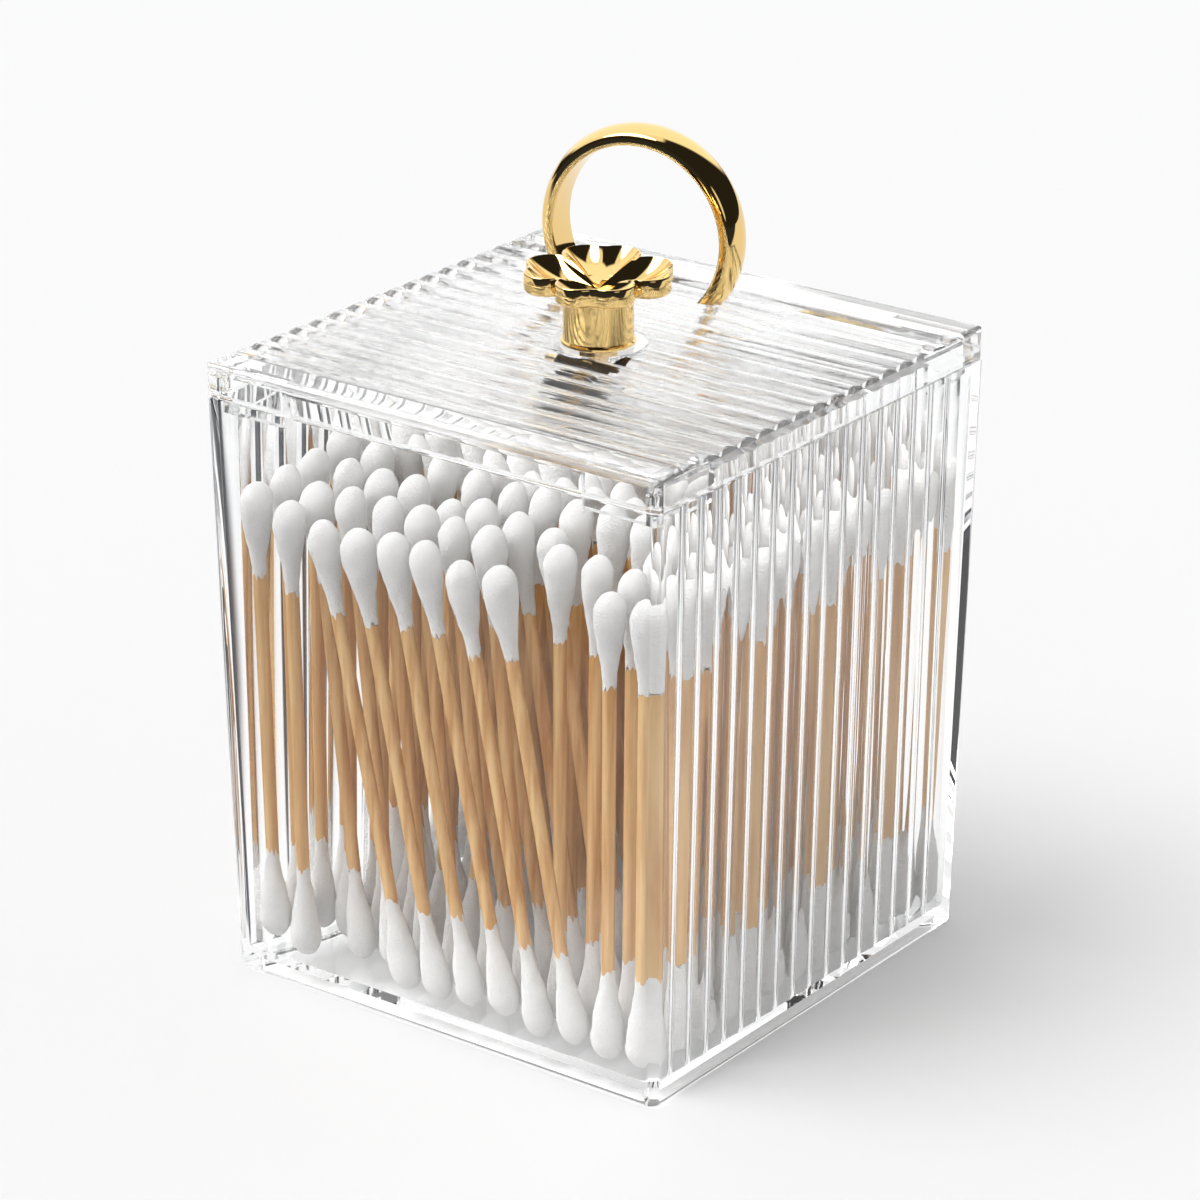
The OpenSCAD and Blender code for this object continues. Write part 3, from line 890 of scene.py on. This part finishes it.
def add_world():
    """Even light from all sides. Shine sees a dark room with soft boxes, and clear plastic a white one."""
    world = bpy.data.worlds.new("studio")
    bpy.context.scene.world = world
    world.cycles.sampling_method = "NONE"
    world.use_nodes = True
    tree = world.node_tree
    tree.nodes.clear()
    out = tree.nodes.new("ShaderNodeOutputWorld")
    plain = tree.nodes.new("ShaderNodeBackground")
    plain.inputs["Color"].default_value = (1.0, 1.0, 1.0, 1)
    plain.inputs["Strength"].default_value = 0.62
    path = tree.nodes.new("ShaderNodeLightPath")
    shader = plain.outputs[0]
    rooms = (
        ("Is Glossy Ray", room_level(tree, SHINE_ROOM, SHINE_BASE, "MAXIMUM")),
        ("Is Transmission Ray", room_level(tree, CLEAR_ROOM, CLEAR_BASE, "MINIMUM")),
    )
    for ray, room in rooms:
        mix = tree.nodes.new("ShaderNodeMixShader")
        tree.links.new(path.outputs[ray], mix.inputs["Fac"])
        tree.links.new(shader, mix.inputs[1])
        tree.links.new(room, mix.inputs[2])
        shader = mix.outputs[0]
    tree.links.new(shader, out.inputs["Surface"])


def painted_dark_reflections(tree):
    """1 where a painted dark reflection lies on the floor: towards the camera, seen only in shine, and
    left of the box, seen only through plastic.
    """
    place = tree.nodes.new("ShaderNodeTexCoord").outputs["Object"]
    path = tree.nodes.new("ShaderNodeLightPath")
    through = path.outputs["Is Transmission Ray"]
    shine = maths(tree, "SUBTRACT", path.outputs["Is Glossy Ray"], through)
    shine.node.use_clamp = True
    near = maths(tree, "MULTIPLY", smooth_step(tree, place, (0.6, -0.8, 0), 0.13, 0.20), shine)
    left = maths(tree, "MULTIPLY", smooth_step(tree, place, (-0.8, -0.6, 0), 0.062, 0.075), through)
    return maths(tree, "MAXIMUM", near, left)


def floor_glow(tree):
    """How much the floor glows for each kind of ray: most for those seen through the clear plastic."""
    path = tree.nodes.new("ShaderNodeLightPath")
    total = None
    for ray, level in GROUND_GLOWS:
        share = maths(tree, "MULTIPLY", path.outputs[ray], level)
        total = share if total is None else maths(tree, "MAXIMUM", total, share)
    return total


def ground_material():
    """A pale floor that glows a little, with painted dark reflections: dark zones that only shine and the
    clear plastic see.
    """
    material, tree, out = new_material("ground")
    shader = tree.nodes.new("ShaderNodeBsdfDiffuse")
    shader.inputs["Color"].default_value = (*group("swab_colours").ground, 1)
    glow = tree.nodes.new("ShaderNodeEmission")
    glow.inputs["Color"].default_value = (1, 1, 1, 1)
    total = tree.nodes.new("ShaderNodeAddShader")
    # Painted dark reflection: a near-black glow on the floor that only shine and the clear plastic see,
    # for dark bands in the gold and dark strips in the left wall
    dark = tree.nodes.new("ShaderNodeEmission")
    dark.inputs["Color"].default_value = (0.03, 0.033, 0.045, 1)
    mix = tree.nodes.new("ShaderNodeMixShader")
    tree.links.new(floor_glow(tree), glow.inputs["Strength"])
    tree.links.new(shader.outputs[0], total.inputs[0])
    tree.links.new(glow.outputs[0], total.inputs[1])
    tree.links.new(painted_dark_reflections(tree), mix.inputs["Fac"])
    tree.links.new(total.outputs[0], mix.inputs[1])
    tree.links.new(dark.outputs[0], mix.inputs[2])
    tree.links.new(mix.outputs[0], out.inputs["Surface"])
    return material


def aimed(name, data, place, direction):
    """An object at a place, such as a lamp or a camera, that looks along a direction."""
    made = bpy.data.objects.new(name, data)
    made.location = place
    made.rotation_mode = "QUATERNION"
    made.rotation_quaternion = Vector(direction).to_track_quat("-Z", "Y")
    bpy.context.scene.collection.objects.link(made)
    return made


class SWAB_OT_stage(bpy.types.Operator):
    """Sets up the floor, the lamps, the world and the camera"""

    bl_idname = "swab.stage"
    bl_label = "Stage"

    def execute(self, context):
        scene = context.scene
        bm = bmesh.new()
        bmesh.ops.create_grid(bm, x_segments=1, y_segments=1, size=6)
        ground = mesh_object(bm, "ground", ground_material())
        ground.location.z = -0.1 * MM
        add_world()
        data = bpy.data.lights.new("key", "SUN")
        data.energy = 1.75
        data.angle = math.radians(40)
        lamp = aimed("key", data, KEY_PLACE, -Vector(KEY_PLACE))
        data = bpy.data.cameras.new("camera")
        data.lens = 145.2
        data.sensor_width = 36
        data.clip_start = 0.01
        scene.camera = aimed("camera", data, CAMERA_PLACE, -Vector(CAMERA_BACK))
        scene.view_settings.view_transform = "Standard"
        scene.cycles.max_bounces = BOUNCES
        scene.cycles.transmission_bounces = BOUNCES
        scene.cycles.transparent_max_bounces = 12
        scene.cycles.glossy_bounces = BOUNCES
        scene.cycles.diffuse_bounces = 3
        return {"FINISHED"}


class SWAB_PT_panel(bpy.types.Panel):
    """Sizes, colours and steps of the swab holder"""

    bl_idname = "SWAB_PT_panel"
    bl_label = "Cotton Swab Holder"
    bl_space_type = "VIEW_3D"
    bl_region_type = "UI"
    bl_category = "Swab Holder"

    def draw(self, context):
        for name in GROUPS:
            box = self.layout.box()
            for key in getattr(context.scene, name).__annotations__:
                box.prop(getattr(context.scene, name), key)
        for operator in STEPS:
            self.layout.operator(operator.bl_idname)


GROUPS = {
    "swab_holder": HolderSizes,
    "swab_lid": LidSizes,
    "swab_gold": GoldSizes,
    "swab_sizes": SwabSizes,
    "swab_colours": HolderColours,
}
STEPS = (SWAB_OT_box, SWAB_OT_lid, SWAB_OT_knob, SWAB_OT_ring, SWAB_OT_swabs, SWAB_OT_stage)


def register():
    """Registers the classes and their settings."""
    for cls in (*GROUPS.values(), *STEPS, SWAB_PT_panel):
        bpy.utils.register_class(cls)
    for name, cls in GROUPS.items():
        setattr(bpy.types.Scene, name, PointerProperty(type=cls))


def unregister():
    """Takes the settings and classes away again."""
    for name in GROUPS:
        delattr(bpy.types.Scene, name)
    for cls in reversed((*GROUPS.values(), *STEPS, SWAB_PT_panel)):
        bpy.utils.unregister_class(cls)


def main():
    """Builds everything in order."""
    register()
    bpy.ops.swab.box()
    bpy.ops.swab.lid()
    bpy.ops.swab.knob()
    bpy.ops.swab.ring()
    bpy.ops.swab.swabs()
    bpy.ops.swab.stage()


if __name__ == "__main__":
    main()
